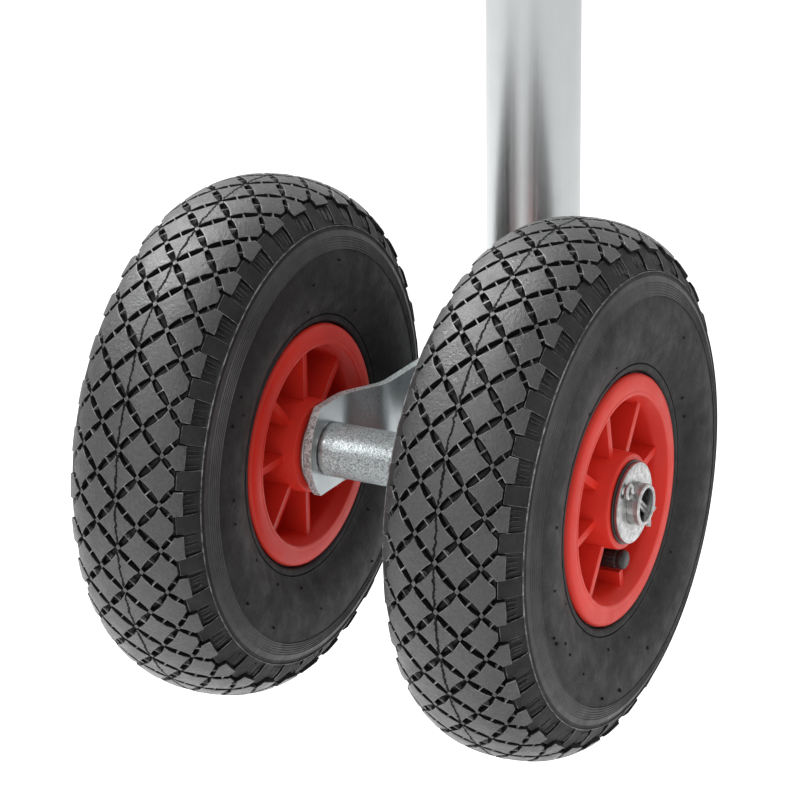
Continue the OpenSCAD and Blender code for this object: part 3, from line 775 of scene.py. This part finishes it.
def valve(name):
    side = SIDES[name]
    a = math.radians(VALVE_ANGLE)
    radial = Vector((0, math.cos(a), math.sin(a)))
    across = Vector((0, -math.sin(a), math.cos(a)))
    out = Vector((side, 0, 0))
    middle = Vector((side * WHEEL_X, 0, 0))
    stem = Shell()
    bend = STEM_BEND
    line = [(r, STEM_OUT) for r in (52.5, 50, 47.5, 47, 43, 40, VALVE_R + bend)]
    for k in range(1, 8):
        t = k / 8 * math.pi / 2
        line.append((VALVE_R + bend - bend * math.sin(t), STEM_OUT + bend - bend * math.cos(t)))
    line += [(VALVE_R, o) for o in (17, 18.6, 18.8, 31)]
    path = [middle + radial * r + out * o for r, o in line]
    radii = [STEM_R if o < STEM_STEP else STEM_TIP_R for _, o in line]
    tube_along(stem, path, radii, 24)
    outward(stem.make(f"valve_stem_{name}_bent", [SOFT_RUBBER], f"wheel_{name}",
                      [f"valve_stem_{name}"], offset=AXLE))
    cap = Shell()
    profile = [(3.1, 20.2), (4.2, 20.0), (4.75, 20.4), (4.9, 21.2), (4.9, 29.2), (4.45, 29.6), (4.45, 30.2),
               (4.8, 30.6), (4.8, 32.0), (4.3, 33.2), (3.3, 33.85), (1.8, 34.0), (0.02, 34.0), (0.02, 30.0),
               (3.1, 29.9)]
    around = 96
    pts = []
    for i in range(around):
        t = i * TURN / around
        dip = 0.28 * (0.5 - 0.5 * math.cos(16 * t))
        for r, o in profile:
            r = r - (dip if 21 < o < 29.3 and r > 4.7 else 0)
            pts.append(middle + out * o + radial * (VALVE_R + r * math.cos(t)) + across * r * math.sin(t))
    cap.add([tuple(p) for p in pts], grid_faces(around, len(profile), wrap_rows=True, wrap_cols=True))
    outward(cap.make(f"valve_cap_{name}_ribbed", [BLACK], f"wheel_{name}",
                     [f"valve_cap_{name}"], offset=AXLE))


for name in SIDES:
    valve(name)

# ---------------------------------------------------------------- axle and its hardware

AXLE_R = 10.0
BORE_R = 8.0


def both_sides(name, profile, material, replaces):
    shell = Shell()
    for side in (-1, 1):
        spin(shell, profile, side=side)
    outward(shell.make(name, [material], "leg", replaces, offset=AXLE))


axle_shell = Shell()
axle_profile = [(BORE_R, -AXLE_HALF + 0.5), (BORE_R + 0.4, -AXLE_HALF), (AXLE_R - 0.6, -AXLE_HALF),
                (AXLE_R, -AXLE_HALF + 0.7), (AXLE_R, AXLE_HALF - 0.7), (AXLE_R - 0.6, AXLE_HALF),
                (BORE_R + 0.4, AXLE_HALF), (BORE_R, AXLE_HALF - 0.5)]
spin(axle_shell, axle_profile)
outward(axle_shell.make("axle_tube", [TURNED_ZINC], "leg", ["axle"], offset=AXLE))

spacer_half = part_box("spacer_tube")[1].x / MM
spacer_r = (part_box("spacer_tube")[1].z - AXLE.z) / MM
spacer_shell = Shell()
turned_end = spacer_half - 3.2
half = [(spacer_r - 0.12, turned_end - 0.3), (spacer_r, turned_end), (spacer_r, spacer_half - 1),
        (spacer_r - 0.25, spacer_half - 0.3), (spacer_r - 0.9, spacer_half), (AXLE_R + 0.05, spacer_half)]
spacer_profile = [(r, -o) for r, o in reversed(half)] + half
spin(spacer_shell, spacer_profile, marks=[0, 0, 0, 0, 1, 1, 1, 0, 0, 0, 0, 0])
outward(spacer_shell.make("spacer_tube_turned", [TURNED_ZINC, GRAIN_ZINC], "leg",
                          ["spacer_tube"], offset=AXLE))


def washer(node, material, crown):
    low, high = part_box(node)
    out, r = high.x / MM, (high.z - AXLE.z) / MM
    thick = {"inner_washers": 2.0, "dust_washers": 1.0, "outer_washers": 2.5}[node]
    inn = out - thick
    c = min(crown, thick * 0.45)
    profile = [(AXLE_R + 0.05, inn), (r - c, inn), (r - 0.3 * c, inn + 0.3 * c), (r, inn + c), (r, out - c),
               (r - 0.3 * c, out - 0.3 * c), (r - c, out), (AXLE_R + 0.75, out), (AXLE_R + 0.25, out - 0.15),
               (AXLE_R + 0.05, out - 0.5)]
    both_sides(node + "_pressed", profile, material, [node])


washer("inner_washers", TURNED_ZINC, 0.7)
washer("dust_washers", DARK_STEEL, 0.3)
washer("outer_washers", TURNED_ZINC, 0.7)

PIN_X = AXLE_HALF - 3.8
PIN_ANGLE = math.radians(140)
PIN_WIRE = 1.1


def split_pins():
    """Cotter pins of round wire: eye, two legs through the axle, ends splayed."""
    shell = Shell()
    reach = AXLE_R + 2.4
    gap = PIN_WIRE
    along = Vector((0, math.cos(PIN_ANGLE), math.sin(PIN_ANGLE)))
    across = Vector((0, -math.sin(PIN_ANGLE), math.cos(PIN_ANGLE)))
    for side in (-1, 1):
        path = []
        for way in (1, -1):
            leg = []
            for k in range(7):
                bend = math.radians(6 + 40 * (6 - k) / 6)
                d = 7.0 * (6 - k) / 6
                leg.append((-reach - d * math.cos(bend * 0.9), way * (gap + d * math.sin(bend) * 0.75)))
            leg += [(-reach * f, way * gap) for f in (0.6, 0, -0.6, -0.9)]
            path.append(leg)
        centre, eye = reach + 3.6, 3.1
        loop = []
        for k in range(17):
            t = math.radians(160 - 320 * k / 16)
            loop.append((centre + eye * math.cos(t), eye * math.sin(t)))
        line = path[0] + loop + path[1][::-1]
        points = [Vector((side * PIN_X, 0, 0)) + along * y + across * z for y, z in line]
        tube_along(shell, points, [PIN_WIRE] * len(points), 12)
    outward(shell.make("split_pins_folded", [TURNED_ZINC], "leg", ["split_pins"],
                       offset=AXLE))


split_pins()

# ---------------------------------------------------------------- fork

PLATE_T = 4.0
NECK_X, FORK_X = 30.0, 42.0
JOGGLE = (16.0, 38.0)
BEND_R = 22.0
NOSE_R, NOSE_Y = 30.0, -19.0
PLATE_LOW, PLATE_HIGH = -21.5, 23.5
TAIL_Y, TAIL_CORNER = 173.0, 14.0


def plate_middle(y):
    """(offset from the centre, slope) of the plate's middle at a distance behind the axle."""
    tilt = math.atan2(FORK_X - NECK_X, JOGGLE[1] - JOGGLE[0])
    k = BEND_R * math.tan(tilt / 2)
    rise = BEND_R * math.sin(tilt)
    y0, y1 = JOGGLE[0] - k, JOGGLE[0] - k + rise
    y3 = JOGGLE[1] + k
    y2 = y3 - rise
    if y <= y0:
        return FORK_X, 0.0
    if y >= y3:
        return NECK_X, 0.0
    if y < y1:
        t = math.asin((y - y0) / BEND_R)
        return FORK_X - BEND_R * (1 - math.cos(t)), -math.tan(t)
    if y > y2:
        t = math.asin((y3 - y) / BEND_R)
        return NECK_X + BEND_R * (1 - math.cos(t)), -math.tan(t)
    start = FORK_X - BEND_R * (1 - math.cos(tilt))
    return start - (y - y1) * math.tan(tilt), -math.tan(tilt)


def plate_span(y):
    """Lowest and highest edge of the plate at a distance behind the axle."""
    low, high = PLATE_LOW, PLATE_HIGH
    nose = NOSE_Y + NOSE_R
    if y < nose:
        reach = math.sqrt(max(NOSE_R ** 2 - (y - nose) ** 2, 0.0))
        low, high = max(low, -reach), min(high, reach)
    if y > TAIL_Y - TAIL_CORNER:
        drop = TAIL_CORNER - math.sqrt(max(TAIL_CORNER ** 2 - (y - TAIL_Y + TAIL_CORNER) ** 2, 0.0))
        low, high = low + drop, high - drop
    return low, high


def fork_plate(name):
    side = SIDES[name]
    # one station each where the rounded nose meets the plate's lower and upper straight edges
    ends = [math.degrees(math.asin(z / NOSE_R)) for z in (-PLATE_LOW, PLATE_HIGH)]
    angles = sorted(list(np.arange(4, 45, 2.2)) + ends + [48.6, 55, 60])
    stations = [NOSE_Y + NOSE_R * (1 - math.cos(math.radians(a))) for a in angles] + [-1, 3, 6.5]
    stations += list(np.arange(8.5, 46, 1.0)) + list(np.arange(48, 156, 10))
    stations += [TAIL_Y - TAIL_CORNER * (1 - math.sin(math.radians(a)))
                 for a in (0, 12, 24, 36, 48, 60, 70, 79)]
    rows = 9
    shell = Shell()
    pts = {}
    for face in (1, -1):
        grid = []
        for y in stations:
            x, slope = plate_middle(y)
            n = Vector((1, -slope, 0)).normalized()
            low, high = plate_span(y)
            for j in range(rows):
                z = low + (high - low) * j / (rows - 1)
                p = Vector((x, y, z)) + n * (face * PLATE_T / 2)
                grid.append((side * p.x, p.y, p.z))
        pts[face] = grid
    count = len(stations)
    faces = grid_faces(count, rows)
    marks_from = len(pts[1])
    shell.add(pts[1] + pts[-1], faces + [tuple(marks_from + i for i in reversed(f)) for f in faces])
    rim_line = [i * rows for i in range(count)] + [(count - 1) * rows + j for j in range(1, rows)]
    rim_line += [i * rows + rows - 1 for i in reversed(range(count - 1))] + list(reversed(range(1, rows - 1)))
    for a, b in zip(rim_line, rim_line[1:] + rim_line[:1]):
        shell.faces.append([a, b, marks_from + b, marks_from + a])
        shell.marks.append(1)
    obj = shell.make(f"fork_plate_{name}_pressed", [PLATE_ZINC, SHEAR_ZINC], "leg",
                     [f"fork_plate_{name}"], offset=AXLE)
    outward(obj)
    bevel = obj.modifiers.new("edge", "BEVEL")
    bevel.width, bevel.segments, bevel.limit_method = 0.5 * MM, 3, "ANGLE"
    bevel.angle_limit = math.radians(50)
    bevel.material = 1


for name in SIDES:
    fork_plate(name)

# ---------------------------------------------------------------- CAD shapes with softened edges


def softened(node, material, width=0.5, angle=30, segments=2):
    """A copy of a CAD node with rounded edges, which stands for it."""
    source = frame["nodes"][node]
    mesh = bpy.data.meshes.new(node + "_finished")
    bm = bmesh.new()
    bm.from_mesh(source.data)
    bmesh.ops.remove_doubles(bm, verts=bm.verts, dist=1e-6)
    bmesh.ops.dissolve_limit(bm, angle_limit=math.radians(0.6), verts=bm.verts, edges=bm.edges)
    sharp = [e for e in bm.edges if len(e.link_faces) == 2 and e.calc_face_angle() > math.radians(angle)]
    bmesh.ops.bevel(bm, geom=sharp, offset=width * MM, segments=segments, profile=0.5, affect="EDGES",
                    clamp_overlap=True)
    bmesh.ops.recalc_face_normals(bm, faces=bm.faces)
    bm.to_mesh(mesh)
    bm.free()
    mesh.polygons.foreach_set("use_smooth", [True] * len(mesh.polygons))
    mesh.set_sharp_from_angle(angle=math.radians(28))
    mesh.materials.append(material)
    obj = bpy.data.objects.new(node + "_finished", mesh)
    bpy.context.scene.collection.objects.link(obj)
    return place(obj, source["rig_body"], [node])


for node, material, slot, width in (
        ("head_plug", PLATE_ZINC, "zinc_plate", 0.6), ("crank_arm", PLATE_ZINC, "zinc_plate", 0.8),
        ("grip_retainer", TURNED_ZINC, "zinc_turned", 0.6), ("grip_stud", TURNED_ZINC, "zinc_turned", 0.4),
        ("crank_pin", DARK_STEEL, "dark_steel", 0.4), ("fork_web_top", PLATE_ZINC, "zinc_plate", 0.6),
        ("fork_web_bottom", PLATE_ZINC, "zinc_plate", 0.6), ("leg_tube", TUBE_ZINC, "zinc_tube", 0.5),
        ("crank_grip", BLACK, "black_plastic", 0.3)):
    softened(node, material, width)

# ---------------------------------------------------------------- clamp tube

SEAM_AZIMUTH = math.radians(-61.5)
TUBE_WALL, TUBE_EDGE = 3.0, 0.6


def clamp_tube():
    """Welded tube: its seam is a narrow flat with two fine rolled edges, facing the front."""
    around = sorted([i * TURN / 144 for i in range(144)]
                    + [SEAM_AZIMUTH % TURN + k * 0.35 / TUBE_R for k in range(-8, 9)])
    wall, edge = TUBE_WALL, TUBE_EDGE
    profile = [(TUBE_R - wall, TUBE_LOW + edge), (TUBE_R - wall + edge, TUBE_LOW), (TUBE_R - edge, TUBE_LOW),
               (TUBE_R, TUBE_LOW + edge), (TUBE_R, TUBE_HIGH - edge), (TUBE_R - edge, TUBE_HIGH),
               (TUBE_R - wall + edge, TUBE_HIGH), (TUBE_R - wall, TUBE_HIGH - edge)]
    shell = Shell()
    pts = []
    for t in around:
        d = (t - SEAM_AZIMUTH + math.pi) % TURN - math.pi
        x = d * TUBE_R
        dent = -0.06 * math.exp(-(x / 0.7) ** 2) + 0.03 * math.exp(-((abs(x) - 1.4) / 0.4) ** 2) - 0.03
        for r, z in profile:
            r += dent if r > TUBE_R - wall + 1 else 0
            pts.append((r * math.cos(t), r * math.sin(t), z))
    shell.add(pts, grid_faces(len(around), len(profile), wrap_rows=True, wrap_cols=True))
    outward(shell.make("clamp_tube_welded", [TUBE_ZINC], "mast", ["clamp_tube"]))


clamp_tube()

# ---------------------------------------------------------------- finishes of the CAD nodes that stay

CAD_FINISH = {
    "thrust_bearing": BEARING_STEEL, "spindle": BEARING_STEEL, "thrust_collar": DARK_STEEL,
    "collar_pin": DARK_STEEL, "spindle_nut": BRONZE,
}
for name in SIDES:
    CAD_FINISH.update({
        f"air_tube_{name}": SOFT_RUBBER, f"bearing_sleeve_{name}": BEARING_STEEL,
        f"roller_cage_{name}": NYLON, f"rollers_{name}": BEARING_STEEL, f"hub_seals_{name}": BLACK,
    })
for node, material in CAD_FINISH.items():
    mesh = frame["nodes"][node].data
    mesh.materials.clear()
    mesh.materials.append(material)

# ---------------------------------------------------------------- floor, light and camera

# the wheels reach the floor when the leg is wound all the way out
TRAVEL = 0.2
FLOOR_Z = CAD_LOW.z - TRAVEL
FLOOR_HALF = 9
floor_mesh = bpy.data.meshes.new("floor")
floor_mesh.from_pydata([(x * FLOOR_HALF, y * FLOOR_HALF, FLOOR_Z)
                        for x, y in ((-1, -1), (1, -1), (1, 1), (-1, 1))], [], [(0, 1, 2, 3)])
floor = bpy.data.objects.new("floor", floor_mesh)
bpy.context.scene.collection.objects.link(floor)
pale = Nodes("pale floor", (0.93, 0.93, 0.93), 0.9, Specular_IOR_Level=0.2)
floor_mesh.materials.append(pale.m)

world = bpy.data.worlds.new("studio")
bpy.context.scene.world = world
world.use_nodes = True
world.node_tree.nodes["Background"].inputs["Color"].default_value = (1, 1, 1, 1)
world.node_tree.nodes["Background"].inputs["Strength"].default_value = 0.85


LIT = (0, -0.1, -0.2)


def softbox(name, where, size, power):
    """A rectangular light, in metres and watts, aimed at the wheels."""
    light = bpy.data.lights.new(name, "AREA")
    light.shape, light.size, light.size_y, light.energy = "RECTANGLE", size[0], size[1], power
    obj = bpy.data.objects.new(name, light)
    obj.location = where
    obj.rotation_euler = (Vector(LIT) - Vector(where)).to_track_quat("-Z", "Y").to_euler()
    bpy.context.scene.collection.objects.link(obj)


softbox("key", (-1.25, 0.25, 1.45), (0.75, 0.75), 46)
softbox("front", (-0.25, -1.6, 1.1), (0.35, 0.45), 13)

# the camera as it was fitted to the photograph: angles, distance from the axle, aim and lens
AZIMUTH, ELEVATION, ROLL = (math.radians(a) for a in (28.23, 19.88, -0.69))
DISTANCE, AIM_RIGHT, AIM_UP = 1.70749, -0.00102, 0.0297
LENS = 158.43

back = Vector((math.sin(AZIMUTH) * math.cos(ELEVATION), -math.cos(AZIMUTH) * math.cos(ELEVATION),
               math.sin(ELEVATION)))
level = (-back).cross(Vector((0, 0, 1))).normalized()
upright = level.cross(-back)
right = math.cos(ROLL) * level + math.sin(ROLL) * upright
up = -math.sin(ROLL) * level + math.cos(ROLL) * upright
camera = bpy.data.objects.new("camera", bpy.data.cameras.new("camera"))
camera.data.lens = LENS
camera.data.sensor_width = 36
camera.data.clip_start, camera.data.clip_end = 0.05, 30
camera.matrix_world = Matrix.LocRotScale(
    AXLE + back * DISTANCE + right * AIM_RIGHT + up * AIM_UP,
    Matrix((right, up, back)).transposed().to_quaternion(), None)
bpy.context.scene.collection.objects.link(camera)
bpy.context.scene.camera = camera
bpy.context.scene.view_settings.view_transform = "Standard"
